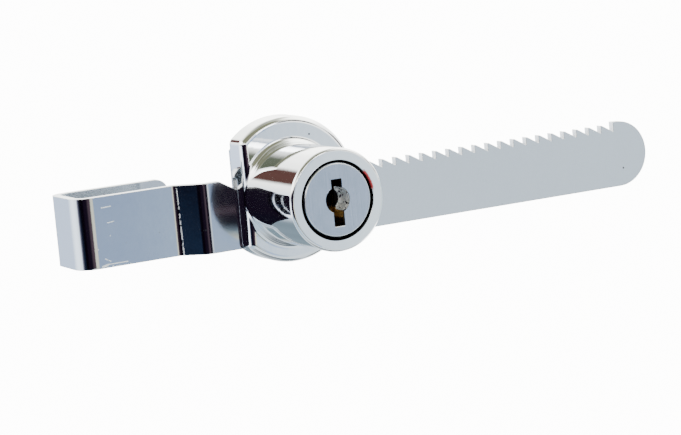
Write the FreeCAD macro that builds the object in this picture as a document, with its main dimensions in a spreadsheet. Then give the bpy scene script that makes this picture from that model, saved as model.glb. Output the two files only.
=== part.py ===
"""Ratchet showcase lock: a hooked, toothed bar with a key-operated lock body that slides along it.

Frame, in millimetres: +X runs along the bar from the hook to the tip, +Y points away from the
person at the showcase, +Z is up. The origin is the seat of the rear glass panel in the hook: the
closed end's inner face, the front leg's inner face, and half the bar's height.

The lock body's own pieces are modelled about the keyhole's axis, with y = 0 on the base's front
face, and are then placed at the lock's station on the bar.
"""
import FreeCAD, Part
import math
import os
import re

import Sketcher
from FreeCAD import Rotation, Vector

# Driving dimensions: name, value in millimetres or a plain count, and what it measures.
SIZES = (
    ("bar_thickness", 1.5, "steel strip of the bar"),
    ("bar_height", 13.5, "strip width, measured upright"),
    ("bar_reach", 124.2, "inside of the hook to the rounded tip"),
    ("hook_gap", 11.4, "clear width between the hook's legs"),
    ("back_leg", 22.9, "inside of the hook to the end of its back leg"),
    ("back_leg_corner", 2.5, "rounded corners of the back leg's end"),
    ("hook_bend", 2.0, "inside radius of the hook's two bends"),
    ("joggle_bend", 1.35, "inside radius of the joggle's two bends"),
    ("joggle_start", 18.65, "inside of the hook to the joggle's first bend"),
    ("joggle_run", 4.1, "length of the joggle along the bar"),
    ("joggle_step", 4.0, "how far the joggle brings the blade forward"),
    ("tooth_pitch", 3.05, "tooth to tooth"),
    ("tooth_depth", 1.5, "tooth tip to root"),
    ("tooth_drop", 0.45, "tooth tips below the strip's top edge"),
    ("tooth_land", 0.3, "flat on each tooth tip"),
    ("tooth_root", 0.15, "flat at each tooth root"),
    ("teeth_start", 31.1, "inside of the hook to the teeth's nearest upright face"),
    ("tip_land", 7.6, "least length from the last upright face to the end of the tip"),
    ("lead_in", 4.8, "slope and flat root before the teeth"),
    ("rest_tooth", 3, "upright faces passed by the pawl at rest"),
    ("pawl_offset", 0.55, "keyhole axis to the tooth face that holds the pawl"),
    ("head_rise", 3.0, "keyhole axis above the bar's centre line"),
    ("bar_set_back", 3.6, "base's front face to the blade's front face"),
    ("slide_gap", 0.1, "clearance round the bar in its channel"),
    ("base_rise", 0.7, "centre of the base's round edge above the keyhole axis"),
    ("base_margin", 3.6, "bar's lower edge to the base's lowest point"),
    ("base_edge", 1.3, "rounded front edge of the base"),
    ("base_corner", 1.6, "rounded corners of the base's flat"),
    ("head_diameter", 19.3, "cylinder head"),
    ("head_length", 18.6, "base's front face to the head's face"),
    ("head_edge", 0.6, "rounded front edge of the head"),
    ("head_foot", 1.2, "hollow radius where the head meets the base"),
    ("flat_margin", 0.1, "head's side to the base's flat"),
    ("ring_width", 2.25, "ring of the head round the plug"),
    ("mouth_gap", 0.5, "ring-shaped gap round the plug's face"),
    ("mouth_depth", 1.3, "depth of that gap"),
    ("plug_recess", 0.05, "plug's face behind the head's face"),
    ("plug_edge", 0.2, "bevel round the plug's face"),
    ("plug_shoulder", 0.6, "plug's face wider than the plug behind it"),
    ("running_gap", 0.05, "radial clearance of parts that turn or slide"),
    ("keyway_width", 2.2, "slot for the key"),
    ("keyway_rise", 3.9, "keyhole axis to the slot's upper end"),
    ("keyway_drop", 4.9, "keyhole axis to the slot's lower end"),
    ("keyhole_diameter", 5.0, "round hole in the middle of the keyway"),
    ("keyhole_depth", 3.5, "depth of that round hole"),
    ("wafer_count", 5, "wafers in the plug"),
    ("wafer_start", 4.2, "plug's face to the wafers"),
    ("wafer_pitch", 2.2, "wafer to wafer"),
    ("wafer_thickness", 0.9, "brass plate of a wafer"),
    ("wafer_drop", 1.0, "travel of a wafer out of the plug"),
    ("code_height", 0.3, "height step between the key windows of different wafers"),
    ("window_width", 2.4, "opening in a wafer for the key"),
    ("wafer_head_rim", 2.8, "wafer's top to the lowest such opening"),
    ("wafer_foot_rim", 2.4, "wafer's bottom to the lowest such opening"),
    ("lug_length", 1.4, "length of a wafer's side lug"),
    ("lug_height", 1.2, "height of the lug"),
    ("wafer_spring_length", 1.7, "spring above a lug, with its wafer at rest"),
    ("wafer_spring_diameter", 1.1, "outside of that spring"),
    ("wafer_spring_wire", 0.2, "its wire"),
    ("wafer_spring_pitch", 0.5, "its coil to coil distance"),
    ("bore_floor", 1.1, "wall behind the plug's wide part"),
    ("tail_diameter", 8.6, "plug's narrow rear end"),
    ("clip_room_front", 0.2, "base's front face to the room for the clip"),
    ("clip_diameter", 9.8, "outside of the retaining clip"),
    ("clip_thickness", 0.7, "its plate"),
    ("clip_bite", 0.7, "depth of the tail's groove that it sits in"),
    ("clip_mouth", 5.4, "opening that lets the clip slide on"),
    ("clip_gap", 0.1, "clearance in front of the clip"),
    ("pawl_plate", 1.5, "plate of the pawl in front of the bar"),
    ("pawl_standoff", 0.3, "pawl's plate to the bar's front face"),
    ("pawl_width", 10.0, "width of the pawl"),
    ("pawl_foot", 5.0, "axis to the bottom of the pawl"),
    ("pawl_over_bar", 0.7, "underside of the pawl's head above the strip"),
    ("pawl_room", 3.0, "pawl's top to the roof of its pocket"),
    ("roof_wall", 3.15, "casting above that roof"),
    ("pawl_side_gap", 0.2, "clearance beside and in front of the pawl"),
    ("tooth_gap", 0.1, "clearance of the pawl's tooth in a notch"),
    ("tooth_nose", 0.2, "flat at the end of the pawl's tooth"),
    ("pin_throw", 2.4, "drive pin off the axis"),
    ("pin_diameter", 1.8, "drive pin"),
    ("pin_hole", 2.6, "depth of the drive pin in the plug"),
    ("pin_slack", 0.8, "room above the pin in the pawl's window"),
    ("pawl_spring_diameter", 1.9, "outside of a pawl spring"),
    ("pawl_spring_wire", 0.3, "its wire"),
    ("pawl_spring_pitch", 0.9, "its coil to coil distance"),
    ("pawl_spring_seat", 2.4, "depth of its well in the pawl"),
    ("pawl_spring_spread", 2.6, "each spring off the middle of the pawl"),
    ("plate_thickness", 0.7, "back plate"),
    ("plate_inset", 1.2, "back plate's round edge inside the base's"),
    ("rivet_diameter", 1.2, "rivet shank"),
    ("rivet_head", 1.8, "rivet head"),
    ("rivet_head_height", 0.4, "rivet head"),
    ("rivet_length", 3.4, "rivet shank in the base"),
    ("upper_rivet_side", 1.5, "side of the pawl's pocket to the upper rivets"),
    ("upper_rivet_rise", 4.6, "bar's upper edge to the upper rivets"),
    ("lower_rivet_drop", 1.25, "bar's lower edge to the lower rivet"),
)
SIZE_NAMES = {name for name, number, meaning in SIZES}

document = FreeCAD.newDocument("showcase_lock")
sheet = document.addObject("Spreadsheet::Sheet", "Sizes")
for row, (name, number, meaning) in enumerate(SIZES, start=1):
    sheet.set(f"A{row}", str(number))
    sheet.setAlias(f"A{row}", name)
    sheet.set(f"B{row}", meaning)
document.recompute()

# Places worked out from the driving dimensions, as expressions of their names.
TOOTH_COUNT = "(floor((bar_reach - tip_land - teeth_start) / tooth_pitch) + 1)"
STATION_X = "(teeth_start + rest_tooth * tooth_pitch - pawl_offset)"
STATION_Y = "(-bar_thickness - joggle_step - bar_set_back)"
STATION_Z = "head_rise"
BEND_SHIFT = "(bar_thickness * tan(atan(joggle_step / joggle_run) / 2))"
SLOPE_RUN = "(tooth_pitch - tooth_land - tooth_root)"
TIP_CENTRE = "(bar_reach - bar_height / 2)"

# Places in the lock body's own frame.
BAR_TOP = "(bar_height / 2 - head_rise)"
BAR_BOTTOM = "(-bar_height / 2 - head_rise)"
TOOTH_ROOT_Z = f"({BAR_TOP} - tooth_drop - tooth_depth)"
BASE_DEPTH = "(bar_set_back + bar_thickness + 2 * slide_gap)"
BASE_RADIUS = f"(base_margin - {BAR_BOTTOM} + base_rise)"
BASE_HALF = "(head_diameter / 2 + flat_margin)"
MOUTH_RADIUS = "(head_diameter / 2 - ring_width)"
FACE_RADIUS = f"({MOUTH_RADIUS} - mouth_gap)"
PLUG_RADIUS = f"({FACE_RADIUS} - plug_shoulder)"
BORE_RADIUS = f"({PLUG_RADIUS} + running_gap)"
PAWL_FRONT = "(bar_set_back - pawl_standoff - pawl_plate)"
PAWL_REAR = "(bar_set_back + bar_thickness - slide_gap)"
POCKET_FRONT = f"({PAWL_FRONT} - pawl_side_gap / 2)"
POCKET_TOP = f"({BASE_RADIUS} + base_rise - roof_wall)"
PAWL_TOP = f"({POCKET_TOP} - pawl_room)"
PLUG_FACE = "(plug_recess - head_length)"
PLUG_REAR = f"({PAWL_FRONT} - pawl_side_gap)"
MOUTH_FLOOR = "(mouth_depth - head_length)"
BORE_END = "(clip_room_front - bore_floor)"
CLIP_FRONT = "(clip_room_front + clip_gap)"
POCKET_HALF = "(pawl_width / 2 + pawl_side_gap)"
# Height codes of the wafers, front to back, as cut for one key.
WAFER_CODES = (1, 3, 0, 2, 1)
WAFER_SLOT = "(wafer_thickness + 2 * running_gap)"
FIRST_SLOT = f"({PLUG_FACE} + wafer_start - running_gap)"
LUG_REACH = f"({PLUG_RADIUS} * 2 / 3)"
LUG_TOP = f"({LUG_REACH} - wafer_spring_length - 2 * running_gap)"
LUG_BOTTOM = f"({LUG_TOP} - lug_height)"
WAFER_HALF = f"({LUG_REACH} - lug_length)"
WAFER_END = f"(sqrt({PLUG_RADIUS} ^ 2 - {WAFER_HALF} ^ 2) - running_gap)"
SPRING_X = f"({LUG_REACH} - wafer_spring_diameter / 2 - 0.15)"
WAFER_WELL_RADIUS = "(wafer_spring_diameter / 2 + 0.15)"
PAWL_WELL_RADIUS = "(pawl_spring_diameter / 2 + 0.15)"
RIVET_PLACES = (
    (f"-{POCKET_HALF} - upper_rivet_side", f"{BAR_TOP} + upper_rivet_rise"),
    (f"{POCKET_HALF} + upper_rivet_side", f"{BAR_TOP} + upper_rivet_rise"),
    ("0", f"{BAR_BOTTOM} - lower_rivet_drop"),
)


def expression(text):
    """Point each size name in the text at the sheet."""
    def with_sheet(match):
        word = match.group(0)
        return f"Sizes.{word}" if word in SIZE_NAMES else word
    return re.sub(r"[a-z_]+", with_sheet, text)


def value(text):
    """The number that an expression of size names comes to."""
    return float(sheet.evalExpression(expression(text)))


def bind(thing, **properties):
    """Bind properties of an object to expressions of size names."""
    for name, text in properties.items():
        thing.setExpression(name, expression(text))


def place(piece, along="0", back="0", up="0"):
    """Bind a piece's place to expressions of size names."""
    for axis, text in (("x", along), ("y", back), ("z", up)):
        piece.setExpression(f"Placement.Base.{axis}", expression(text))


def seat(piece, along="0", back="0", up="0"):
    """Put a piece of the lock body at the lock's station on the bar."""
    place(piece, f"{STATION_X} + {along}", f"{STATION_Y} + {back}", f"{STATION_Z} + {up}")


def new_body(label):
    """An empty body with its own label."""
    body = document.addObject("PartDesign::Body", label)
    body.Label = label
    return body


def origin_feature(body, role):
    """A plane or axis of the body's own origin."""
    return next(feature for feature in body.Origin.OriginFeatures if feature.Role == role)


def new_sketch(body, name, role, offset="0"):
    """A sketch on one of the body's origin planes, moved along the plane's normal."""
    sketch = body.newObject("Sketcher::SketchObject", name)
    sketch.AttachmentSupport = (origin_feature(body, role), [""])
    sketch.MapMode = "FlatFace"
    sketch.setExpression("AttachmentOffset.Base.z", expression(offset))
    return sketch


def front_sketch(body, name, depth="0"):
    """A sketch seen from the front (x across, z up) at the given depth behind y = 0."""
    return new_sketch(body, name, "XZ_Plane", f"-({depth})")


def hold(sketch, edge, point, across, up):
    """Fix one point of an edge at a pair of expressions."""
    for kind, text in (("DistanceX", across), ("DistanceY", up)):
        constraint = Sketcher.Constraint(kind, -1, 1, edge, point, value(text))
        index = sketch.addConstraint(constraint)
        sketch.setExpression(f"Constraints[{index}]", expression(text))


def outline(sketch, corners):
    """A closed outline of straight edges, each corner a pair of expressions."""
    points = [Vector(value(across), value(up), 0) for across, up in corners]
    first = sketch.GeometryCount
    for start, end in zip(points, points[1:] + points[:1]):
        sketch.addGeometry(Part.LineSegment(start, end), False)
    for number, (across, up) in enumerate(corners):
        edge = first + number
        following = first + (number + 1) % len(corners)
        sketch.addConstraint(Sketcher.Constraint("Coincident", edge, 2, following, 1))
        hold(sketch, edge, 1, across, up)


def rectangle(sketch, left, bottom, right, top):
    """A closed rectangle between two corners."""
    outline(sketch, ((left, bottom), (right, bottom), (right, top), (left, top)))


def circle(sketch, across, up, radius):
    """A circle with its centre and radius bound."""
    centre = Vector(value(across), value(up), 0)
    ring = Part.Circle(centre, Vector(0, 0, 1), value(radius))
    edge = sketch.addGeometry(ring, False)
    hold(sketch, edge, 3, across, up)
    index = sketch.addConstraint(Sketcher.Constraint("Radius", edge, value(radius)))
    sketch.setExpression(f"Constraints[{index}]", expression(radius))


def feature_from(body, kind, sketch, name, length, reverse):
    """A pad or pocket of a sketch over a bound length."""
    feature = body.newObject(f"PartDesign::{kind}", name)
    feature.Profile = sketch
    feature.Reversed = reverse
    bind(feature, Length=length)
    document.recompute()
    return feature


def pad(body, sketch, name, length, reverse=True):
    """Material from a front sketch towards the back, or upwards from a plan sketch."""
    return feature_from(body, "Pad", sketch, name, length, reverse)


def pocket(body, sketch, name, length, reverse=False):
    """A cut from a front sketch towards the back."""
    return feature_from(body, "Pocket", sketch, name, length, reverse)


def revolve(body, sketch, name, kind="Revolution"):
    """A full turn of a profile about the keyhole's axis, as material or as a cut."""
    feature = body.newObject(f"PartDesign::{kind}", name)
    feature.Profile = sketch
    feature.ReferenceAxis = (sketch, ["V_Axis"])
    feature.Angle = 360
    document.recompute()
    return feature


def dress(body, kind, name, base, edges, **size):
    """A fillet or chamfer on the named edges of a feature."""
    feature = body.newObject(f"PartDesign::{kind}", name)
    feature.Base = (base, edges)
    bind(feature, **size)
    document.recompute()
    return feature


def row_of(body, name, originals, axis, count, spacing):
    """Repeat cuts in a straight row along one of the body's axes."""
    pattern = body.newObject("PartDesign::LinearPattern", name)
    pattern.Originals = originals
    pattern.Direction = (origin_feature(body, axis), [""])
    bind(pattern, Length=f"({count} - 1) * {spacing}", Occurrences=count)
    body.Tip = pattern
    document.recompute()
    return pattern


def edges_where(feature, test):
    """Names of the feature's edges that pass a test."""
    edges = feature.Shape.Edges
    return [f"Edge{number}" for number, edge in enumerate(edges, start=1) if test(edge)]


def near(first, second):
    """True for two numbers that are the same to a thousandth of a millimetre."""
    return abs(first - second) < 0.001


def upright_edges(feature, corners):
    """Full-height upright edges that stand on the given plan corners."""
    spots = [(value(across), value(back)) for across, back in corners]

    def stands_on_spot(edge):
        ends = [vertex.Point for vertex in edge.Vertexes]
        if len(ends) != 2 or not near(edge.Length, abs(ends[0].z - ends[1].z)):
            return False
        return any(near(ends[0].x, x) and near(ends[0].y, y) for x, y in spots)
    return edges_where(feature, stands_on_spot)


def rims(feature, radius, depth):
    """Full circles about the keyhole's axis, of one radius at one depth."""
    def is_rim(edge):
        curve = edge.Curve
        if not isinstance(curve, Part.Circle) or len(edge.Vertexes) != 1:
            return False
        return near(curve.Radius, value(radius)) and near(curve.Center.y, value(depth))
    return edges_where(feature, is_rim)


def make_hook_bar():
    """The strip: hook, joggle, toothed blade and rounded tip."""
    body = new_body("hook_bar")
    step_back = "-joggle_step"
    step_front = "(-joggle_step - bar_thickness)"
    back_outer = "(hook_gap + bar_thickness)"
    joggle_end = "(joggle_start + joggle_run)"
    inner_start = f"(joggle_start + {BEND_SHIFT})"
    inner_end = f"({joggle_end} + {BEND_SHIFT})"
    plan = new_sketch(body, "bar_plan", "XY_Plane")
    outline(plan, (
        ("back_leg", "hook_gap"),
        ("0", "hook_gap"),
        ("0", "0"),
        (inner_start, "0"),
        (inner_end, step_back),
        (TIP_CENTRE, step_back),
        (TIP_CENTRE, step_front),
        (joggle_end, step_front),
        ("joggle_start", "-bar_thickness"),
        ("-bar_thickness", "-bar_thickness"),
        ("-bar_thickness", back_outer),
        ("back_leg", back_outer),
    ))
    strip = pad(body, plan, "bar_strip", "bar_height", reverse=False)
    strip.Midplane = True
    document.recompute()

    bends = (
        ("hook_inside", (("0", "hook_gap"), ("0", "0")), "hook_bend"),
        ("hook_outside", (("-bar_thickness", back_outer), ("-bar_thickness", "-bar_thickness")),
         "hook_bend + bar_thickness"),
        ("joggle_inside", ((inner_end, step_back), ("joggle_start", "-bar_thickness")), "joggle_bend"),
        ("joggle_outside", ((joggle_end, step_front), (inner_start, "0")), "joggle_bend + bar_thickness"),
    )
    bent = strip
    for name, corners, radius in bends:
        bent = dress(body, "Fillet", name, bent, upright_edges(bent, corners), Radius=radius)

    def is_leg_corner(edge):
        middle = edge.BoundBox.Center
        return near(middle.x, value("back_leg")) and near(edge.Length, value("bar_thickness")) \
            and near(abs(middle.z), value("bar_height / 2"))
    dress(body, "Fillet", "back_leg_end", bent, edges_where(bent, is_leg_corner),
          Radius="back_leg_corner")

    tip = front_sketch(body, "tip_round", step_front)
    circle(tip, TIP_CENTRE, "0", "bar_height / 2")
    pad(body, tip, "bar_tip", "bar_thickness")

    top = "(bar_height / 2)"
    crest = f"({top} - tooth_drop)"
    root = f"({crest} - tooth_depth)"
    above = f"({top} + 1)"
    cut_depth = "(bar_thickness + 2)"
    run_in = new_sketch(body, "lead_in_outline", "XZ_Plane", f"-({step_front} - 1)")
    slope_start = "(teeth_start - lead_in)"
    slope_end = f"({slope_start} + (tooth_drop + tooth_depth) * {SLOPE_RUN} / tooth_depth)"
    outline(run_in, (
        (slope_start, above),
        (slope_start, top),
        (slope_end, root),
        ("teeth_start", root),
        ("teeth_start", above),
    ))
    pocket(body, run_in, "lead_in_slope", cut_depth)

    notch = front_sketch(body, "notch_outline", f"({step_front} - 1)")
    outline(notch, (
        ("teeth_start", above),
        ("teeth_start", crest),
        ("teeth_start + tooth_land", crest),
        ("teeth_start + tooth_pitch - tooth_root", root),
        ("teeth_start + tooth_pitch", root),
        ("teeth_start + tooth_pitch", above),
    ))
    first_notch = pocket(body, notch, "first_notch", cut_depth)
    row_of(body, "notches", [first_notch], "X_Axis", f"({TOOTH_COUNT} - 1)", "tooth_pitch")
    return body


def round_with_flat(body, name, front, thickness, radius):
    """A round plate about the base's centre, cut to the flat that meets the glass."""
    disc = front_sketch(body, f"{name}_outline", front)
    circle(disc, "0", "base_rise", radius)
    pad(body, disc, f"{name}_disc", thickness)
    flat = front_sketch(body, f"{name}_flat_outline", f"{front} - 1")
    far = f"(2 * {BASE_RADIUS})"
    rectangle(flat, f"-{far}", f"-{far}", f"-{BASE_HALF}", far)
    return pocket(body, flat, f"{name}_flat", f"{thickness} + 2")


def drill_rivet_holes(body, name, depth, length):
    """The three rivet holes of the base or the back plate."""
    holes = front_sketch(body, f"{name}_outline", depth)
    for across, up in RIVET_PLACES:
        circle(holes, across, up, "rivet_diameter / 2 + running_gap")
    return pocket(body, holes, name, length)


def round_base_edges(body, base):
    """Round the two corners of the base's flat, then its whole front edge."""
    def is_corner(edge):
        box = edge.BoundBox
        return near(box.XMax, -value(BASE_HALF)) and near(box.YLength, value(BASE_DEPTH))

    def is_front(edge):
        return near(edge.BoundBox.YMin, 0) and near(edge.BoundBox.YMax, 0)
    corners = dress(body, "Fillet", "base_corners", base, edges_where(base, is_corner),
                    Radius="base_corner")
    return dress(body, "Fillet", "base_front_edge", corners, edges_where(corners, is_front),
                 Radius="base_edge")


def hollow_foot(body, head):
    """The hollow where the head's round side runs out into the base and its rounded edge."""
    radius = value("head_diameter / 2")

    def is_junction(edge):
        first, last = edge.ParameterRange
        points = [edge.valueAt(first + share * (last - first)) for share in (0, 0.5, 1)]
        round_axis = all(near(math.hypot(point.x, point.z), radius) for point in points)
        return round_axis and all(-0.001 < point.y < value("base_edge") for point in points)
    return dress(body, "Fillet", "head_foot_hollow", head, edges_where(head, is_junction),
                 Radius="head_foot")


def make_housing():
    """The casting: round base with one flat, cylinder head, bore, bar channel and pawl pocket."""
    body = new_body("lock_housing")
    base = round_base_edges(body, round_with_flat(body, "base", "0", BASE_DEPTH, BASE_RADIUS))
    head_circle = front_sketch(body, "head_outline", "-head_length")
    circle(head_circle, "0", "0", "head_diameter / 2")
    head = pad(body, head_circle, "head", "head_length + base_edge")
    foot = hollow_foot(body, head)
    dress(body, "Fillet", "head_front_edge", foot,
          rims(foot, "head_diameter / 2", "-head_length"), Radius="head_edge")

    profile = new_sketch(body, "bore_profile", "XY_Plane")
    outline(profile, (
        ("0", "-head_length - 1"),
        (MOUTH_RADIUS, "-head_length - 1"),
        (MOUTH_RADIUS, MOUTH_FLOOR),
        (BORE_RADIUS, MOUTH_FLOOR),
        (BORE_RADIUS, BORE_END),
        ("tail_diameter / 2 + running_gap", BORE_END),
        ("tail_diameter / 2 + running_gap", "clip_room_front"),
        (POCKET_HALF, "clip_room_front"),
        (POCKET_HALF, POCKET_FRONT),
        ("0", POCKET_FRONT),
    ))
    revolve(body, profile, "plug_bore", "Groove")

    channel = front_sketch(body, "bar_channel_outline", "bar_set_back - slide_gap")
    rectangle(channel, f"-{BASE_RADIUS}", f"{BAR_BOTTOM} - slide_gap",
              BASE_RADIUS, f"{BAR_TOP} + slide_gap")
    pocket(body, channel, "bar_channel", BASE_DEPTH)

    pawl_outline = front_sketch(body, "pawl_pocket_outline", POCKET_FRONT)
    rectangle(pawl_outline, f"-{POCKET_HALF}", "-pawl_foot - 2 * pawl_side_gap",
              POCKET_HALF, POCKET_TOP)
    pocket(body, pawl_outline, "pawl_pocket", BASE_DEPTH)

    groove_front = f"({FIRST_SLOT} - wafer_thickness)"
    groove_length = "((wafer_count + 1) * wafer_pitch)"
    groove_half = f"({WAFER_HALF} + 0.15)"
    groove_reach = f"({WAFER_END} + wafer_drop + 0.15)"
    grooves = front_sketch(body, "wafer_grooves_outline", groove_front)
    outline(grooves, (
        (f"-{groove_reach}", f"-{groove_half}"),
        (f"-{groove_half}", f"-{groove_half}"),
        (f"-{groove_half}", f"-{groove_reach}"),
        (groove_half, f"-{groove_reach}"),
        (groove_half, groove_half),
        (f"-{groove_reach}", groove_half),
    ))
    pocket(body, grooves, "wafer_grooves", groove_length)
    drill_rivet_holes(body, "rivet_holes", f"{BASE_DEPTH} - rivet_length - 0.2", "rivet_length + 1")
    seat(body)
    return body


def make_back_plate():
    """The plate that closes the casting behind the bar."""
    body = new_body("back_plate")
    round_with_flat(body, "plate", BASE_DEPTH, "plate_thickness", f"({BASE_RADIUS} - plate_inset)")
    drill_rivet_holes(body, "plate_holes", f"{BASE_DEPTH} - 1", "plate_thickness + 2")
    seat(body)
    return body


def make_plug():
    """The turning plug: keyway, wafer slots, spring wells, clip groove and pin hole."""
    body = new_body("plug")
    wide_end = f"({BORE_END} - clip_gap)"
    groove_radius = "(tail_diameter / 2 - clip_bite)"
    groove_front = f"({CLIP_FRONT} - running_gap)"
    groove_rear = f"({CLIP_FRONT} + clip_thickness + running_gap)"
    shoulder = f"({MOUTH_FLOOR} - running_gap)"
    profile = new_sketch(body, "plug_profile", "XY_Plane")
    outline(profile, (
        ("0", PLUG_FACE),
        (FACE_RADIUS, PLUG_FACE),
        (FACE_RADIUS, shoulder),
        (PLUG_RADIUS, shoulder),
        (PLUG_RADIUS, wide_end),
        ("tail_diameter / 2", wide_end),
        ("tail_diameter / 2", groove_front),
        (groove_radius, groove_front),
        (groove_radius, groove_rear),
        ("tail_diameter / 2", groove_rear),
        ("tail_diameter / 2", PLUG_REAR),
        ("0", PLUG_REAR),
    ))
    turned = revolve(body, profile, "plug_turned")
    dress(body, "Chamfer", "plug_face_bevel", turned,
          rims(turned, FACE_RADIUS, PLUG_FACE), Size="plug_edge")

    keyway = front_sketch(body, "keyway_outline", PLUG_FACE)
    rectangle(keyway, "-keyway_width / 2", "-keyway_drop", "keyway_width / 2", "keyway_rise")
    pocket(body, keyway, "keyway", "wafer_start + wafer_count * wafer_pitch")
    keyhole = front_sketch(body, "keyhole_outline", PLUG_FACE)
    circle(keyhole, "0", "0", "keyhole_diameter / 2")
    pocket(body, keyhole, "keyhole", "keyhole_depth")

    slot_half = f"({WAFER_HALF} + running_gap)"
    beyond = f"(2 * {PLUG_RADIUS})"
    lug_floor = f"({LUG_BOTTOM} - wafer_drop - running_gap)"
    lug_end = f"({LUG_REACH} + running_gap)"
    lug_roof = f"({LUG_TOP} + running_gap)"
    slot = front_sketch(body, "wafer_slot_outline", FIRST_SLOT)
    outline(slot, (
        (f"-{slot_half}", f"-{beyond}"),
        (slot_half, f"-{beyond}"),
        (slot_half, lug_floor),
        (lug_end, lug_floor),
        (lug_end, lug_roof),
        (slot_half, lug_roof),
        (slot_half, beyond),
        (f"-{slot_half}", beyond),
    ))
    first_slot = pocket(body, slot, "first_wafer_slot", WAFER_SLOT)
    well = new_sketch(body, "spring_well_outline", "XY_Plane", LUG_TOP)
    circle(well, SPRING_X, f"{FIRST_SLOT} + {WAFER_SLOT} / 2", WAFER_WELL_RADIUS)
    first_well = pocket(body, well, "first_spring_well", "wafer_spring_length + 2 * running_gap", reverse=True)
    row_of(body, "wafer_slots", [first_slot, first_well], "Y_Axis", "wafer_count", "wafer_pitch")

    pin_hole = front_sketch(body, "pin_hole_outline", f"{PLUG_REAR} - pin_hole")
    circle(pin_hole, "-pin_throw", "0", "pin_diameter / 2 + running_gap / 5")
    pocket(body, pin_hole, "pin_hole_bore", "pin_hole + 1")
    seat(body)
    return body


def make_clip():
    """The open ring that keeps the plug from sliding out of the head."""
    body = new_body("plug_clip")
    ring = front_sketch(body, "clip_outline", CLIP_FRONT)
    circle(ring, "0", "0", "clip_diameter / 2")
    circle(ring, "0", "0", "tail_diameter / 2 - clip_bite + running_gap")
    pad(body, ring, "clip_ring", "clip_thickness")
    mouth = front_sketch(body, "clip_mouth_outline", f"{CLIP_FRONT} - 1")
    rectangle(mouth, "-clip_mouth / 2", "-clip_diameter", "clip_mouth / 2", "0")
    pocket(body, mouth, "clip_opening", "clip_thickness + 2")
    seat(body)
    return body


def make_drive_pin():
    """The off-centre pin in the plug's rear end that lifts the pawl."""
    pin = document.addObject("Part::Cylinder", "drive_pin")
    pin.Label = "drive_pin"
    bind(pin, Radius="pin_diameter / 2", Height="pin_hole + pawl_plate + pawl_side_gap")
    pin.Placement.Rotation = Rotation(Vector(1, 0, 0), -90)
    seat(pin, "-pin_throw", f"{PLUG_REAR} - pin_hole + running_gap", "0")
    return pin


def make_pawl():
    """The spring-loaded pawl: a plate for the pin, a head above the bar and its tooth."""
    body = new_body("pawl")
    half = "(pawl_width / 2)"
    plate = front_sketch(body, "pawl_plate_outline", PAWL_FRONT)
    rectangle(plate, f"-{half}", "-pawl_foot", half, PAWL_TOP)
    pad(body, plate, "pawl_front_plate", "pawl_plate")

    head_bottom = f"({BAR_TOP} + pawl_over_bar)"
    tooth_face = "(pawl_offset - tooth_gap / 2)"
    tooth_end = f"({TOOTH_ROOT_Z} + tooth_gap)"
    nose_left = f"({tooth_face} - tooth_nose)"
    head = front_sketch(body, "pawl_head_outline", f"{PAWL_FRONT} + pawl_plate")
    outline(head, (
        (f"-{half}", PAWL_TOP),
        (f"-{half}", head_bottom),
        (f"{nose_left} - ({head_bottom} - {tooth_end})", head_bottom),
        (nose_left, tooth_end),
        (tooth_face, tooth_end),
        (tooth_face, head_bottom),
        (half, head_bottom),
        (half, PAWL_TOP),
    ))
    pad(body, head, "pawl_head", f"{PAWL_REAR} - {PAWL_FRONT} - pawl_plate")

    reach = "(pin_diameter / 2 + tooth_gap)"
    window = front_sketch(body, "pin_window_outline", f"{PAWL_FRONT} - 1")
    rectangle(window, f"-pin_throw - {reach}", f"-{reach}", reach, f"{reach} + pin_slack")
    pocket(body, window, "pin_window", "pawl_plate + 2")

    wells = new_sketch(body, "pawl_wells_outline", "XY_Plane", f"{PAWL_TOP} - pawl_spring_seat")
    middle = f"(({PAWL_FRONT} + {PAWL_REAR}) / 2)"
    for side in ("-pawl_spring_spread", "pawl_spring_spread"):
        circle(wells, side, middle, PAWL_WELL_RADIUS)
    pocket(body, wells, "pawl_wells", "pawl_spring_seat + 1", reverse=True)
    seat(body)
    return body


def make_wafer(number):
    """One brass wafer, with its key window and the side lug that its spring pushes on."""
    body = new_body(f"wafer_{number}")
    code = WAFER_CODES[(number - 1) % len(WAFER_CODES)]
    front = f"({PLUG_FACE} + wafer_start + {number - 1} * wafer_pitch)"
    face = front_sketch(body, f"wafer_{number}_outline", front)
    outline(face, (
        (f"-{WAFER_HALF}", f"-{WAFER_END}"),
        (WAFER_HALF, f"-{WAFER_END}"),
        (WAFER_HALF, LUG_BOTTOM),
        (LUG_REACH, LUG_BOTTOM),
        (LUG_REACH, LUG_TOP),
        (WAFER_HALF, LUG_TOP),
        (WAFER_HALF, WAFER_END),
        (f"-{WAFER_HALF}", WAFER_END),
    ))
    rectangle(face, "-window_width / 2", f"wafer_foot_rim - {WAFER_END} + {code} * code_height",
              "window_width / 2", f"{WAFER_END} - wafer_head_rim + {code} * code_height")
    pad(body, face, f"wafer_{number}_plate", "wafer_thickness")
    seat(body)
    return body


def make_spring(label, diameter, wire, pitch, length, along, back, up):
    """A coil spring that stands upright on the given place of the lock body."""
    coil_radius = f"({diameter} - {wire}) / 2"
    coil = document.addObject("Part::Helix", f"{label}_coil")
    bind(coil, Radius=coil_radius, Pitch=pitch, Height=f"{length} - {wire}")
    section = document.addObject("Part::Circle", f"{label}_section")
    bind(section, Radius=f"{wire} / 2")
    section.Placement.Rotation = Rotation(Vector(1, 0, 0), 90)
    place(section, along=coil_radius)
    spring = document.addObject("Part::Sweep", label)
    spring.Label = label
    spring.Sections = [section]
    spring.Spine = (coil, ["Edge1"])
    spring.Solid = True
    spring.Frenet = True
    seat(spring, along, back, f"{up} + {wire} / 2")
    return spring


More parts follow.
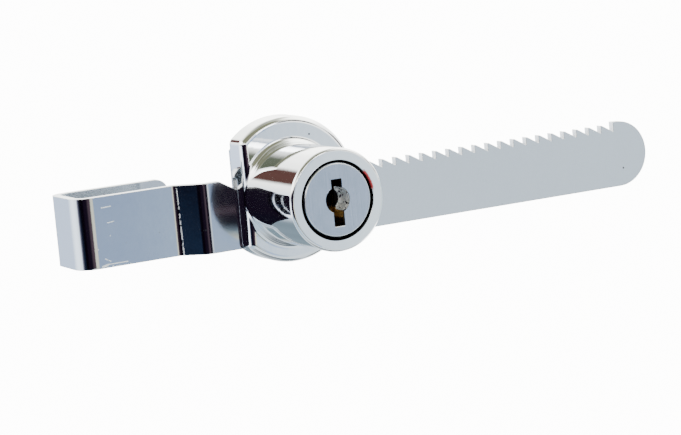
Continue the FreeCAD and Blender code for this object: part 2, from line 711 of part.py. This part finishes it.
def make_wafer_spring(number):
    """The spring in the plug that pushes one wafer out."""
    middle = f"({PLUG_FACE} + wafer_start + {number - 1} * wafer_pitch + wafer_thickness / 2)"
    return make_spring(f"wafer_spring_{number}", "wafer_spring_diameter", "wafer_spring_wire",
                       "wafer_spring_pitch", "wafer_spring_length", SPRING_X, middle,
                       f"{LUG_TOP} + running_gap")


def make_pawl_spring(side, along):
    """A spring between the pawl's well and the roof of its pocket."""
    floor = f"({PAWL_TOP} - pawl_spring_seat + running_gap)"
    length = f"({POCKET_TOP} - {floor} - running_gap)"
    middle = f"(({PAWL_FRONT} + {PAWL_REAR}) / 2)"
    return make_spring(f"pawl_spring_{side}", "pawl_spring_diameter", "pawl_spring_wire",
                       "pawl_spring_pitch", length, along, middle, floor)


def make_rivets():
    """The three rivets that hold the back plate, as separate solids."""
    rivets = []
    back = Rotation(Vector(1, 0, 0), -90)
    for number, (across, up) in enumerate(RIVET_PLACES, start=1):
        shank = document.addObject("Part::Cylinder", f"rivet_shank_{number}")
        bind(shank, Radius="rivet_diameter / 2", Height="rivet_length + plate_thickness + 0.1")
        shank.Placement.Rotation = back
        place(shank, across, f"{BASE_DEPTH} - rivet_length", up)
        head = document.addObject("Part::Cylinder", f"rivet_head_{number}")
        bind(head, Radius="rivet_head / 2", Height="rivet_head_height")
        head.Placement.Rotation = back
        place(head, across, f"{BASE_DEPTH} + plate_thickness", up)
        rivet = document.addObject("Part::Fuse", f"rivet_{number}")
        rivet.Base = shank
        rivet.Tool = head
        rivets.append(rivet)
    group = document.addObject("Part::Compound", "back_plate_rivets")
    group.Label = "back_plate_rivets"
    group.Links = rivets
    seat(group)
    return group


def make_all():
    """Every sub-part of the lock, each with the label that names its file."""
    wafer_numbers = range(1, int(value("wafer_count")) + 1)
    pieces = [make_hook_bar(), make_housing(), make_back_plate(), make_rivets(), make_plug(),
              make_clip(), make_drive_pin(), make_pawl()]
    pieces.append(make_pawl_spring("left", "-pawl_spring_spread"))
    pieces.append(make_pawl_spring("right", "pawl_spring_spread"))
    pieces += [make_wafer(number) for number in wafer_numbers]
    pieces += [make_wafer_spring(number) for number in wafer_numbers]
    document.recompute()
    return pieces


def check(pieces):
    """Stop if any object failed, any shape is bad or any cut removed nothing."""
    for thing in document.Objects:
        if "Invalid" in thing.State or "Error" in thing.State:
            raise RuntimeError(f"{thing.Label} did not compute: {thing.State}")
        if thing.TypeId in ("PartDesign::Pocket", "PartDesign::Groove", "PartDesign::LinearPattern"):
            if thing.Shape.Volume >= thing.BaseFeature.Shape.Volume - 0.001:
                raise RuntimeError(f"{thing.Label} removed nothing")
    for piece in pieces:
        if piece.Shape.isNull() or not piece.Shape.isValid() or not piece.Shape.Solids:
            raise RuntimeError(f"{piece.Label} has no valid solid")


def write(pieces):
    """One STEP file for each sub-part, named after it."""
    os.makedirs("parts", exist_ok=True)
    for piece in pieces:
        piece.Shape.exportStep(f"parts/{piece.Label}.step")
        box = piece.Shape.BoundBox
        print(f"{piece.Label}: {len(piece.Shape.Solids)} solid(s), {piece.Shape.Volume:.2f} mm3, "
              f"x {box.XMin:.2f} {box.XMax:.2f}, y {box.YMin:.2f} {box.YMax:.2f}, "
              f"z {box.ZMin:.2f} {box.ZMax:.2f}")


lock_pieces = make_all()
check(lock_pieces)
write(lock_pieces)
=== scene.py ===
"""Looks of the showcase lock: metals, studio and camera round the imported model.

The model's boxes are in metres. The finishes measure in millimetres and the studio in degrees.
"""

import math

import bpy
from mathutils import Matrix, Vector


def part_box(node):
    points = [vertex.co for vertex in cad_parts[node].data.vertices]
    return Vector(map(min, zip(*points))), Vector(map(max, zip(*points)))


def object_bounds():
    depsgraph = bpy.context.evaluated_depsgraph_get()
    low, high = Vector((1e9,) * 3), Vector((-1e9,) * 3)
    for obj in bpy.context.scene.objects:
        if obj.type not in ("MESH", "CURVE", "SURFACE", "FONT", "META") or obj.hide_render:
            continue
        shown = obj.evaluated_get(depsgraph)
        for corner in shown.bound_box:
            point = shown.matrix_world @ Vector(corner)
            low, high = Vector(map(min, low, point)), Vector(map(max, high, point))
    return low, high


MM = 0.001

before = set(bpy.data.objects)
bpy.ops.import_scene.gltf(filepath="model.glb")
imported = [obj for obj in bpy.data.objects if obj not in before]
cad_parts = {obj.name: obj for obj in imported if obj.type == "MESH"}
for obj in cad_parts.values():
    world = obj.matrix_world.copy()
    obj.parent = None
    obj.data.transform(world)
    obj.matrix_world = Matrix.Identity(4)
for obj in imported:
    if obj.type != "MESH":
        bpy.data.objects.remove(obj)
cad_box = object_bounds()

# In metres: the keyhole's axis, and the front faces of the head, base, blade and hook's leg.
PLUG_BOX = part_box("plug")
BAR_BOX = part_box("hook_bar")
HEAD_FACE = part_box("lock_housing")[0][1]
HEAD_LENGTH = 18.6 * MM
AXIS_X = (PLUG_BOX[0][0] + PLUG_BOX[1][0]) / 2
AXIS_Z = (PLUG_BOX[0][2] + PLUG_BOX[1][2]) / 2
BASE_FRONT = HEAD_FACE + HEAD_LENGTH
BLADE_FRONT = BAR_BOX[0][1]
LEG_FRONT = -1.5 * MM

# In millimetres: the head's mouth, the plug's face, half the keyway's slot, the round keyhole, and
# where a painted highlight crosses the strip at the joggle's bend.
MOUTH_RADIUS = 7.4
FACE_RADIUS = 6.9
SLOT_HALF_WIDTH = 1.1
KEYHOLE_RADIUS = 2.5
BEND_HIGHLIGHT = 19.07

# Marks on the front of the hook's leg, placed by x and z in millimetres: the two ends of each
# scratch and half its width, and the centre and radius of each dot.
LEG_SCRATCHES = (
    ((3.60, 4.66), (5.42, 4.72), 0.10),
    ((4.53, 1.69), (5.78, 1.83), 0.09),
    ((3.38, -4.99), (3.80, -5.20), 0.09),
    ((4.00, -5.40), (4.41, -5.53), 0.08),
    ((2.73, -6.40), (3.72, -6.20), 0.20),
    ((3.72, -6.10), (7.80, -6.10), 0.09),
)
LEG_DOTS = (
    ((4.8, -0.78), 0.10),
    ((2.13, -3.03), 0.10),
)

# How far the blade's normal shifts beside the base, where the strip is bent a little so that it
# looks towards the hook and upwards.
BLADE_LEAN = (-0.075, 0.0, 0.059)

# Colours of bare and scratched metal and of painted highlights, of the painted shade in the gap round
# the plug, and of the touch of paint.
BRIGHT = (1.0, 1.0, 1.0)
GAP_SHADE = (0.006, 0.005, 0.006)
PAINT_RED = (0.50, 0.035, 0.04)

# The floor: half its width in metres, its depth under the lock in millimetres, and its glow.
FLOOR_HALF = 12.0
FLOOR_DROP = 90
FLOOR_GLOW = 11.0

# The photograph's camera: its place in millimetres from the keyhole's axis on the base's front,
# its directions in degrees, its focal length and picture width in pixels and its sensor's width.
CAMERA_OFFSET = (-193.113, -393.103, 55.782)
CAMERA_HEADING = 27.3
CAMERA_TILT = -7.979
CAMERA_ROLL = -5.2
FOCAL_PIXELS = 2313.676
IMAGE_WIDTH = 681
SENSOR_WIDTH = 36

# Radiance of the studio's white cloth. Every colour of the studio is a share of it, and so is the
# backdrop that the camera sees past the lock.
WHITE_LEVEL = 5.0
BACKDROP = (3.0, 3.0, 3.0)

# The cloth and the ceiling from straight below to straight above: elevation and colour.
STUDIO_HEIGHTS = (
    (-90, (0.10, 0.11, 0.12)),
    (-68, (0.14, 0.16, 0.17)),
    (-50, (0.26, 0.29, 0.31)),
    (-25, (0.24, 0.28, 0.30)),
    (-3, (0.27, 0.31, 0.335)),
    (4, (0.55, 0.56, 0.55)),
    (20, (0.75, 0.76, 0.73)),
    (52, (0.70, 0.70, 0.65)),
    (68, (0.25, 0.26, 0.22)),
    (90, (0.06, 0.06, 0.05)),
)

# Panels of the studio round the lock, each laid over those before it. Heading turns from straight
# in front of the lock towards its hook, elevation upwards from level: the panel's centre, half its
# width and height, the softness of its edge as a share of those halves, and its colour.
STUDIO_PANELS = (
    ("cloth at the hook's side", (112, -8), (48, 14), 0.4, (0.62, 0.68, 0.74)),
    ("blue cloth at the hook's side", (168, -8), (26, 12), 0.8, (0.25, 0.30, 0.39)),
    ("low cloth at the hook's side", (75, -42), (52, 18), 0.5, (0.13, 0.18, 0.23)),
    ("dark floor edge", (-45, -70), (80, 8), 0.4, (0.030, 0.038, 0.044)),
    ("grey stand", (-95, -50), (28, 6), 0.5, (0.050, 0.055, 0.045)),
    ("low lamp at the tip's side", (-110, -33), (50, 8), 0.4, (1.20, 1.20, 1.20)),
    ("cloth at the tip's side", (-80, -10), (34, 12), 0.4, (0.22, 0.26, 0.28)),
    ("table behind the lock", (180, -26), (25, 8), 0.4, (0.055, 0.075, 0.090)),
    ("brown board behind the lock", (163, 19), (9, 6.5), 0.3, (0.030, 0.014, 0.012)),
    ("bright cloth behind the lock", (-140, 30), (25, 30), 0.4, (1.30, 1.30, 1.22)),
    ("ceiling over the camera", (32, 52), (78, 25), 0.3, (0.060, 0.062, 0.040)),
    ("ceiling lamp", (-85, 45), (42, 14), 0.4, (1.20, 1.20, 1.12)),
    ("beam over the camera", (-34, 21), (14, 9), 0.3, (0.027, 0.027, 0.025)),
    ("beam at the tip's side", (-63, 12), (16, 7), 0.4, (0.022, 0.020, 0.021)),
    ("olive curtain", (8, 25), (15, 6), 0.5, (0.035, 0.040, 0.028)),
    ("small lamp", (-18, 20), (5, 4), 0.4, (3.00, 3.00, 2.90)),
    ("lamp at the hook's side", (100, 30), (30, 18), 0.4, (1.10, 1.10, 1.05)),
    ("brown wall over the opening", (62, 8), (46, 8), 0.5, (0.035, 0.024, 0.020)),
    ("blue side of the opening", (-17, -6), (8, 26), 0.5, (0.11, 0.15, 0.22)),
    ("navy side of the opening", (71, -5), (12, 18), 0.6, (0.045, 0.047, 0.065)),
    ("opening behind the camera", (33.2, -5), (36.8, 18), 0.05, (0.0030, 0.0016, 0.0044)),
    ("low part of the opening", (15, -17), (13, 10), 0.2, (0.0022, 0.0016, 0.0042)),
    ("purple side of the opening", (4, -7.5), (12, 2.5), 0.5, (0.028, 0.019, 0.024)),
    ("black depth of the opening", (55, -6), (15, 16), 0.5, (0.0008, 0.0003, 0.0013)),
    ("warm edge of the opening", (-11, -14), (8, 11), 0.2, (0.28, 0.28, 0.22)),
    ("teal edge of the opening", (-5, -23), (11, 8), 0.4, (0.060, 0.085, 0.100)),
    ("blue glow in the opening", (66.4, -7.5), (1.7, 0.45), 0.9, (0.004, 0.009, 0.020)),
    ("low blue glow in the opening", (63, -8.6), (5, 0.35), 0.9, (0.006, 0.013, 0.028)),
)

# Power of a panel's outline: it is an ellipse at 2 and comes nearer to a rectangle above that.
PANEL_SQUARENESS = 3.0


class Shader:
    """A short way to add and join the nodes of one cleared node tree."""

    def __init__(self, holder):
        holder.use_nodes = True
        self.tree = holder.node_tree
        self.tree.nodes.clear()

    def join(self, socket, source):
        """Feed a socket from another node's output, or set its value."""
        if isinstance(source, bpy.types.NodeSocket):
            self.tree.links.new(source, socket)
        else:
            socket.default_value = source

    def add(self, kind, inputs=None, **settings):
        """A node with its settings and inputs."""
        node = self.tree.nodes.new(kind)
        for name, setting in settings.items():
            setattr(node, name, setting)
        for name, source in (inputs or {}).items():
            self.join(node.inputs[name], source)
        return node

    def math(self, operation, first, second=0.0, third=0.0):
        """One arithmetic step."""
        inputs = {0: first, 1: second, 2: third}
        return self.add("ShaderNodeMath", inputs, operation=operation).outputs[0]

    def smooth(self, value, zero_at, one_at):
        """A soft step from 0 to 1, rising or falling with the value."""
        inputs = {"Value": value, "From Min": zero_at, "From Max": one_at}
        return self.add("ShaderNodeMapRange", inputs, interpolation_type="SMOOTHSTEP").outputs[0]

    def between(self, value, low, high, soft):
        """1 from low to high, with soft ends."""
        rise = self.smooth(value, low - soft, low + soft)
        fall = self.smooth(value, high + soft, high - soft)
        return self.math("MULTIPLY", rise, fall)

    def product(self, *values):
        """All the values multiplied together."""
        result = values[0]
        for value in values[1:]:
            result = self.math("MULTIPLY", result, value)
        return result

    def length(self, first, second):
        """The length of a flat vector."""
        squares = self.math("MULTIPLY_ADD", first, first, self.math("MULTIPLY", second, second))
        return self.math("SQRT", squares)

    def ramp(self, factor, stops):
        """Colours along a factor, as pairs of position and colour."""
        node = self.add("ShaderNodeValToRGB", {"Fac": factor})
        band = node.color_ramp
        band.elements.remove(band.elements[1])
        band.elements[0].position = stops[0][0]
        band.elements[0].color = (*stops[0][1], 1)
        for position, colour in stops[1:]:
            band.elements.new(position).color = (*colour, 1)
        return node.outputs["Color"]

    def mix(self, factor, first, second, kind="RGBA", blend="MIX"):
        """A blend of two colours or, with kind FLOAT, of two numbers."""
        node = self.add("ShaderNodeMix", data_type=kind)
        if kind == "RGBA":
            node.blend_type = blend
            places = (0, 6, 7)
        else:
            places = (0, 2, 3)
        for place, source in zip(places, (factor, first, second)):
            if kind == "RGBA" and isinstance(source, tuple):
                source = (*source, 1)
            self.join(node.inputs[place], source)
        return node.outputs[2 if kind == "RGBA" else 0]

    def noise(self, vector, scale, detail=3.0, roughness=0.5):
        """Soft noise between 0 and 1."""
        inputs = {"Vector": vector, "Scale": scale, "Detail": detail, "Roughness": roughness}
        return self.add("ShaderNodeTexNoise", inputs).outputs["Fac"]

    def stretch(self, vector, scale):
        """The same place, scaled along each axis."""
        return self.add("ShaderNodeMapping", {"Vector": vector, "Scale": scale}).outputs[0]

    def parts(self, vector):
        """The three parts of a vector."""
        return self.add("ShaderNodeSeparateXYZ", {"Vector": vector}).outputs


class Finish(Shader):
    """A metal's surface: a plating with grain and waves, then marks laid over it one by one."""

    def __init__(self, name, colour, mottle, roughness, grain=(1, 1, 1), grain_scale=1500.0):
        self.material = bpy.data.materials.new(name)
        super().__init__(self.material)
        self.place = self.add("ShaderNodeTexCoord").outputs["Object"]
        millimetres = self.stretch(self.place, (1000, 1000, 1000))
        self.x, self.y, self.z = self.parts(millimetres)
        self.fine = self.noise(self.stretch(self.place, grain), grain_scale, detail=4.0, roughness=0.6)
        cloud = self.noise(self.place, 260.0, detail=5.0, roughness=0.6)
        tone = self.math("MULTIPLY_ADD", self.fine, 0.5, self.math("MULTIPLY", cloud, 0.5))
        dark = tuple(channel * (1 - mottle) for channel in colour)
        light = tuple(min(1.0, channel * (1 + mottle)) for channel in colour)
        self.colour = self.mix(tone, dark, light)
        self.roughness = self.math("MULTIPLY_ADD", cloud, roughness * 0.6, roughness * 0.7)
        self.metallic = 1.0

    def cover(self, mask, colour, roughness, metallic=1.0):
        """Lay a mark over the surface where the mask is 1."""
        self.colour = self.mix(mask, self.colour, colour)
        self.roughness = self.mix(mask, self.roughness, roughness, "FLOAT")
        if metallic != 1.0:
            self.metallic = self.mix(mask, self.metallic, metallic, "FLOAT")

    def round_axis(self):
        """How far across, up and away from the keyhole's axis, and how deep behind the head's face."""
        across = self.math("SUBTRACT", self.x, AXIS_X / MM)
        up = self.math("SUBTRACT", self.z, AXIS_Z / MM)
        depth = self.math("SUBTRACT", self.y, HEAD_FACE / MM)
        return across, up, self.length(across, up), depth

    def on_face(self, front):
        """1 on a front face, and 0 from 0.15 mm behind it."""
        return self.smooth(self.y, front / MM + 0.15, front / MM + 0.05)

    def line_mark(self, start, end, half_width):
        """1 along a straight scratch between two places in x and z."""
        run = (end[0] - start[0], end[1] - start[1])
        size = run[0] ** 2 + run[1] ** 2
        from_x = self.math("SUBTRACT", self.x, start[0])
        from_z = self.math("SUBTRACT", self.z, start[1])
        forward = self.math("MULTIPLY_ADD", from_x, run[0], self.math("MULTIPLY", from_z, run[1]))
        share = self.math("DIVIDE", forward, size)
        share = self.math("MAXIMUM", self.math("MINIMUM", share, 1.0), 0.0)
        off_x = self.math("MULTIPLY_ADD", share, -run[0], from_x)
        off_z = self.math("MULTIPLY_ADD", share, -run[1], from_z)
        return self.smooth(self.length(off_x, off_z), half_width * 1.4, half_width * 0.6)

    def spot(self, centre, radius):
        """1 on a round dot, its centre given in x and z."""
        off_x = self.math("SUBTRACT", self.x, centre[0])
        off_z = self.math("SUBTRACT", self.z, centre[1])
        return self.smooth(self.length(off_x, off_z), radius * 1.3, radius * 0.7)

    def lean(self, facing, mask, tilt):
        """The normal, leaning by the tilt where the mask is 1."""
        inputs = {"Vector": tilt, "Scale": mask}
        shift = self.add("ShaderNodeVectorMath", inputs, operation="SCALE").outputs["Vector"]
        summed = self.add("ShaderNodeVectorMath", {0: facing, 1: shift}, operation="ADD")
        inputs = {0: summed.outputs["Vector"]}
        return self.add("ShaderNodeVectorMath", inputs, operation="NORMALIZE").outputs["Vector"]

    def done(self, grain_depth, edge, wave_depth=0.0, leaning=None):
        """The finished material, with its depths of grain and waves and the radius of its edges."""
        height = self.math("MULTIPLY", self.fine, grain_depth)
        if wave_depth:
            wave = self.noise(self.place, 420.0, detail=2.0)
            height = self.math("MULTIPLY_ADD", wave, wave_depth, height)
        facing = self.add("ShaderNodeBevel", {"Radius": edge * MM}, samples=6).outputs[0]
        if leaning:
            facing = self.lean(facing, *leaning)
        bump_inputs = {"Strength": 1.0, "Distance": MM, "Height": height, "Normal": facing}
        normal = self.add("ShaderNodeBump", bump_inputs).outputs[0]
        surface = self.add("ShaderNodeBsdfPrincipled", {
            "Base Color": self.colour,
            "Metallic": self.metallic,
            "Roughness": self.roughness,
            "Normal": normal,
        })
        self.add("ShaderNodeOutputMaterial", {"Surface": surface.outputs[0]})
        return self.material


def bar_finish():
    """Satin chrome of the strip, with the scratches, dots and pits of a used piece, and painted glints
    and highlights.
    """
    finish = Finish("bar_chrome", (0.60, 0.62, 0.66), mottle=0.05, roughness=0.09)
    on_leg = finish.on_face(LEG_FRONT)
    on_blade = finish.on_face(BLADE_FRONT)

    for start, end, half_width in LEG_SCRATCHES:
        scratch = finish.product(on_leg, finish.line_mark(start, end, half_width))
        finish.cover(scratch, BRIGHT, roughness=0.55)
    for centre, radius in LEG_DOTS:
        dot = finish.product(on_leg, finish.spot(centre, radius))
        finish.cover(dot, BRIGHT, roughness=0.5)

    # Painted glints, bright flecks along the hook's lower edge.
    low_edge = finish.smooth(finish.z, -6.35, -6.6)
    glint_run = finish.between(finish.x, 1.0, 8.5, soft=0.8)
    edge_glints = finish.smooth(finish.noise(finish.place, 2600.0, detail=2.0), 0.53, 0.60)
    finish.cover(finish.product(low_edge, glint_run, edge_glints), BRIGHT, roughness=0.6)

    # A dark pit near the tip, and small grey ones all over.
    tip_pit = finish.product(on_blade, finish.spot(centre=(118.33, -3.07), radius=0.20))
    finish.cover(tip_pit, (0.10, 0.10, 0.10), roughness=0.5)
    small_pits = finish.smooth(finish.noise(finish.place, 900.0, detail=1.0), 0.76, 0.80)
    finish.cover(small_pits, (0.42, 0.44, 0.47), roughness=0.2)

    # A painted highlight across the strip at the joggle's bend, a little off upright and broken in
    # places.
    across_strip = finish.math("MULTIPLY_ADD", finish.z, 0.012, finish.x)
    bend_highlight = finish.between(across_strip, BEND_HIGHLIGHT - 0.1, BEND_HIGHLIGHT + 0.1, soft=0.04)
    before_leg = finish.smooth(finish.y, LEG_FRONT / MM, LEG_FRONT / MM - 0.1)
    kept = finish.smooth(finish.noise(finish.place, 1500.0, detail=3.0), 0.36, 0.46)
    finish.cover(finish.product(bend_highlight, before_leg, kept), BRIGHT, roughness=0.5)

    # Between the hook's legs the plating is duller.
    between_legs = finish.between(finish.y, -0.05, 11.45, soft=0.03)
    in_hook = finish.smooth(finish.x, 17.0, 16.0)
    finish.cover(finish.product(between_legs, in_hook), (0.60, 0.64, 0.68), roughness=0.24)

    # The steep faces of the teeth, which look towards the hook, are painted bright for the light they
    # catch.
    geometry = finish.add("ShaderNodeNewGeometry")
    lit_tooth_faces = finish.smooth(finish.parts(geometry.outputs["True Normal"])[0], -0.8, -0.95)
    along_teeth = finish.smooth(finish.x, 26.0, 27.0)
    finish.cover(finish.product(lit_tooth_faces, along_teeth), BRIGHT, roughness=0.55)

    past_joggle = finish.smooth(finish.x, 23.1, 23.3)
    before_blade = finish.smooth(finish.x, 44.0, 31.0)
    beside_base = finish.product(past_joggle, before_blade, on_blade)
    return finish.done(0.0016, edge=0.2, wave_depth=0.004, leaning=(beside_base, BLADE_LEAN))


def housing_finish():
    """Polished chrome of the casting, with painted shade in the gap round the plug and a touch of red
    paint.
    """
    finish = Finish("housing_chrome", (0.88, 0.89, 0.91), mottle=0.03, roughness=0.045)
    across, up, radius, depth = finish.round_axis()
    base_pit = finish.product(finish.on_face(BASE_FRONT), finish.spot(centre=(44.37, 13.7), radius=0.2))
    finish.cover(base_pit, (0.08, 0.08, 0.08), roughness=0.5)

    # Painted shade in the gap round the plug, on the mouth's wall and on the face, where it reaches
    # a little further to the left of the axis and below it.
    off_centre = finish.length(finish.math("ADD", across, 0.13), finish.math("ADD", up, 0.10))
    front = finish.smooth(off_centre, MOUTH_RADIUS + 0.05, MOUTH_RADIUS - 0.01)
    near_wall = finish.smooth(radius, MOUTH_RADIUS + 0.1, MOUTH_RADIUS + 0.04)
    wall = finish.product(near_wall, finish.smooth(depth, 0.35, 0.5))
    gap = finish.math("MAXIMUM", front, wall)
    finish.cover(gap, GAP_SHADE, roughness=0.8)

    # A touch of paint on the mouth's rim, at the right and above, with a ragged outer edge.
    angle = finish.math("ARCTAN2", up, across)
    arc = finish.between(angle, math.radians(8), math.radians(39), soft=math.radians(3))
    ragged = finish.math("MULTIPLY_ADD", finish.noise(finish.place, 1800.0, detail=3.0), 0.3, -0.15)
    rim = finish.math("ADD", radius, ragged)
    on_rim = finish.smooth(rim, MOUTH_RADIUS + 0.42, MOUTH_RADIUS + 0.22)
    painted = finish.product(arc, on_rim, finish.smooth(depth, 0.7, 0.5))
    finish.cover(painted, PAINT_RED, roughness=0.4, metallic=0.0)
    return finish.done(0.0006, edge=0.2, wave_depth=0.010)


def plug_finish():
    """Brushed nickel of the plug's face, with painted highlights and painted shade on its rim, side,
    keyway and keyhole.
    """
    finish = Finish("plug_nickel", (0.40, 0.44, 0.53), mottle=0.30, roughness=0.22,
                    grain=(1, 1, 0.04), grain_scale=3000.0)
    across, up, radius, depth = finish.round_axis()
    on_front = finish.on_face(PLUG_BOX[0][1])
    # A painted highlight round the face's rim, where the plug's rounded edge catches the light.
    rim = finish.between(radius, FACE_RADIUS - 0.26, FACE_RADIUS - 0.08, soft=0.05)
    finish.cover(finish.product(on_front, rim), (0.95, 0.96, 0.96), roughness=0.3)
    # Painted shade on the plug's side, down in the gap round it.
    near_side = finish.smooth(radius, FACE_RADIUS - 0.08, FACE_RADIUS - 0.02)
    side = finish.product(near_side, finish.smooth(depth, 0.15, 0.28))
    finish.cover(side, GAP_SHADE, roughness=0.8)

    # Painted shade inside the slot, with brass showing in its lower half.
    from_middle = finish.math("ABSOLUTE", across)
    in_slot = finish.smooth(from_middle, SLOT_HALF_WIDTH + 0.25, SLOT_HALF_WIDTH + 0.05)
    deep = finish.smooth(depth, 0.4, 0.9)
    in_plug = finish.smooth(radius, 5.2, 5.0)
    finish.cover(finish.product(in_slot, deep, in_plug), (0.035, 0.025, 0.028), roughness=0.45)
    brassy = finish.between(up, -3.5, -1.7, soft=0.25)
    finish.cover(finish.product(in_slot, deep, brassy), (0.50, 0.30, 0.08), roughness=0.4, metallic=0.5)

    # The round keyhole: right of the slot its wall is dark, mottled with a painted bright crescent for
    # the light it catches, and its floor is painted shade.
    near_wall = finish.between(radius, KEYHOLE_RADIUS - 0.58, KEYHOLE_RADIUS + 0.18, soft=0.08)
    below_face = finish.smooth(depth, 0.1, 0.25)
    right_of_slot = finish.smooth(across, SLOT_HALF_WIDTH + 0.05, SLOT_HALF_WIDTH + 0.3)
    wall = finish.product(near_wall, below_face, right_of_slot)
    finish.cover(wall, (0.14, 0.13, 0.13), roughness=0.5)
    lit_crescent = finish.smooth(finish.noise(finish.place, 1600.0, detail=4.0), 0.36, 0.50)
    finish.cover(finish.product(wall, lit_crescent), (1.0, 1.0, 0.97), roughness=0.4, metallic=0.2)
    within_wall = finish.smooth(radius, KEYHOLE_RADIUS - 0.5, KEYHOLE_RADIUS - 0.66)
    bottom_shade = finish.product(within_wall, finish.smooth(depth, 0.3, 0.6))
    finish.cover(bottom_shade, (0.012, 0.009, 0.010), roughness=0.6)

    # A painted highlight along the slot's lower end, where its edge catches the light.
    lip_left = (AXIS_X / MM - 0.95, AXIS_Z / MM - 4.86)
    lip_right = (AXIS_X / MM + 0.95, AXIS_Z / MM - 4.94)
    lip_highlight = finish.line_mark(lip_left, lip_right, half_width=0.14)
    finish.cover(finish.product(on_front, lip_highlight), BRIGHT, roughness=0.5)
    return finish.done(0.0120, edge=0.08, wave_depth=0.002)


def plain_finish(name, colour, mottle, roughness, grain_depth, grain=(1, 1, 1)):
    """A plain worked metal for the pieces inside and behind, its grain's depth in millimetres."""
    return Finish(name, colour, mottle, roughness, grain=grain).done(grain_depth, edge=0.05)


def dress_all():
    """Give every node of the model its material."""
    rivet_steel = plain_finish("rivet_steel", (0.62, 0.62, 0.63), 0.10, 0.25, 0.003)
    materials = {
        "hook_bar": bar_finish(),
        "lock_housing": housing_finish(),
        "plug": plug_finish(),
        "back_plate": plain_finish("plate_zinc", (0.70, 0.72, 0.74), 0.12, 0.20, 0.003),
        "back_plate_rivets": rivet_steel,
        "drive_pin": rivet_steel,
        "pawl": plain_finish("pawl_steel", (0.50, 0.50, 0.49), 0.15, 0.32, 0.004),
    }
    spring_steel = plain_finish("spring_steel", (0.45, 0.45, 0.46), 0.10, 0.30, 0.002)
    wafer_brass = plain_finish("wafer_brass", (0.42, 0.25, 0.09), 0.25, 0.30, 0.003,
                               grain=(0.1, 1, 1))
    for name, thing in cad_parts.items():
        is_wafer = name.startswith("wafer_") and "spring" not in name
        material = wafer_brass if is_wafer else materials.get(name, spring_steel)
        thing.data.materials.clear()
        thing.data.materials.append(material)


def make_floor():
    """A plain pale floor that glows, well under the lock, which hangs from the glass in use."""
    level = cad_box[0][2] - FLOOR_DROP * MM
    turns = ((-1, -1), (1, -1), (1, 1), (-1, 1))
    corners = [(across * FLOOR_HALF, along * FLOOR_HALF, level) for across, along in turns]
    mesh = bpy.data.meshes.new("floor")
    mesh.from_pydata(corners, [], [(0, 1, 2, 3)])
    floor = bpy.data.objects.new("floor", mesh)
    bpy.context.scene.collection.objects.link(floor)
    material = bpy.data.materials.new("floor_pale")
    shade = Shader(material)
    place = shade.add("ShaderNodeTexCoord").outputs["Object"]
    tint = shade.mix(shade.noise(place, 300.0, detail=2.0), (0.93, 0.93, 0.93), (0.95, 0.95, 0.95))
    surface = shade.add("ShaderNodeBsdfPrincipled", {
        "Base Color": tint,
        "Roughness": 0.9,
        "Emission Color": (1, 1, 1, 1),
        "Emission Strength": FLOOR_GLOW,
    })
    shade.add("ShaderNodeOutputMaterial", {"Surface": surface.outputs[0]})
    mesh.materials.append(material)
    floor.visible_glossy = False
    floor.visible_diffuse = False


def make_studio():
    """White cloth all round, with the panels in it. What the camera sees past the lock is white."""
    world = bpy.data.worlds.new("studio")
    bpy.context.scene.world = world
    shade = Shader(world)
    direction = shade.add("ShaderNodeTexCoord").outputs["Generated"]
    x, y, z = shade.parts(direction)
    heading = shade.math("ARCTAN2", shade.math("MULTIPLY", x, -1.0), shade.math("MULTIPLY", y, -1.0))
    heading = shade.math("DEGREES", heading)
    elevation = shade.math("DEGREES", shade.math("ARCSINE", z))

    height = shade.math("MULTIPLY_ADD", elevation, 1 / 180, 0.5)
    colour = shade.ramp(height, [((degrees + 90) / 180, paint) for degrees, paint in STUDIO_HEIGHTS])
    for title, centre, half, soft, paint in STUDIO_PANELS:
        turned = shade.math("WRAP", shade.math("SUBTRACT", heading, centre[0]), 180.0, -180.0)
        across = shade.math("ABSOLUTE", shade.math("DIVIDE", turned, half[0]))
        across = shade.math("POWER", across, PANEL_SQUARENESS)
        raised = shade.math("SUBTRACT", elevation, centre[1])
        up = shade.math("ABSOLUTE", shade.math("DIVIDE", raised, half[1]))
        up = shade.math("POWER", up, PANEL_SQUARENESS)
        from_centre = shade.math("POWER", shade.math("ADD", across, up), 1 / PANEL_SQUARENESS)
        mask = shade.smooth(from_centre, 1 + soft, 1 - soft)
        mask.node.label = title
        colour = shade.mix(mask, colour, paint)

    folds = shade.math("MULTIPLY_ADD", shade.noise(direction, 5.0, detail=3.0), 0.5, 0.75)
    uneven = shade.mix(1.0, colour, folds, blend="MULTIPLY")
    seen = shade.add("ShaderNodeLightPath").outputs["Is Camera Ray"]
    colour = shade.mix(seen, uneven, BACKDROP)
    background = shade.add("ShaderNodeBackground", {"Color": colour, "Strength": WHITE_LEVEL})
    shade.add("ShaderNodeOutputWorld", {"Surface": background.outputs[0]})


def make_camera():
    """The camera, at the photograph's place, direction and focal length."""
    spot = Vector((AXIS_X, BASE_FRONT, AXIS_Z)) + Vector(CAMERA_OFFSET) * MM
    heading = math.radians(CAMERA_HEADING)
    tilt = math.radians(CAMERA_TILT)
    roll = math.radians(CAMERA_ROLL)
    forward = Vector((
        math.sin(heading) * math.cos(tilt),
        math.cos(heading) * math.cos(tilt),
        math.sin(tilt),
    ))
    level = Vector((math.cos(heading), -math.sin(heading), 0))
    upright = level.cross(forward)
    right = level * math.cos(roll) + upright * math.sin(roll)
    up = upright * math.cos(roll) - level * math.sin(roll)
    data = bpy.data.cameras.new("photo_camera")
    data.sensor_width = SENSOR_WIDTH
    data.lens = FOCAL_PIXELS / IMAGE_WIDTH * SENSOR_WIDTH
    data.clip_start = 0.01
    data.clip_end = 40
    camera = bpy.data.objects.new("photo_camera", data)
    bpy.context.scene.collection.objects.link(camera)
    turned = Matrix((right, up, -forward)).transposed().to_4x4()
    camera.matrix_world = Matrix.Translation(spot) @ turned
    bpy.context.scene.camera = camera


make_camera()
dress_all()
make_floor()
make_studio()
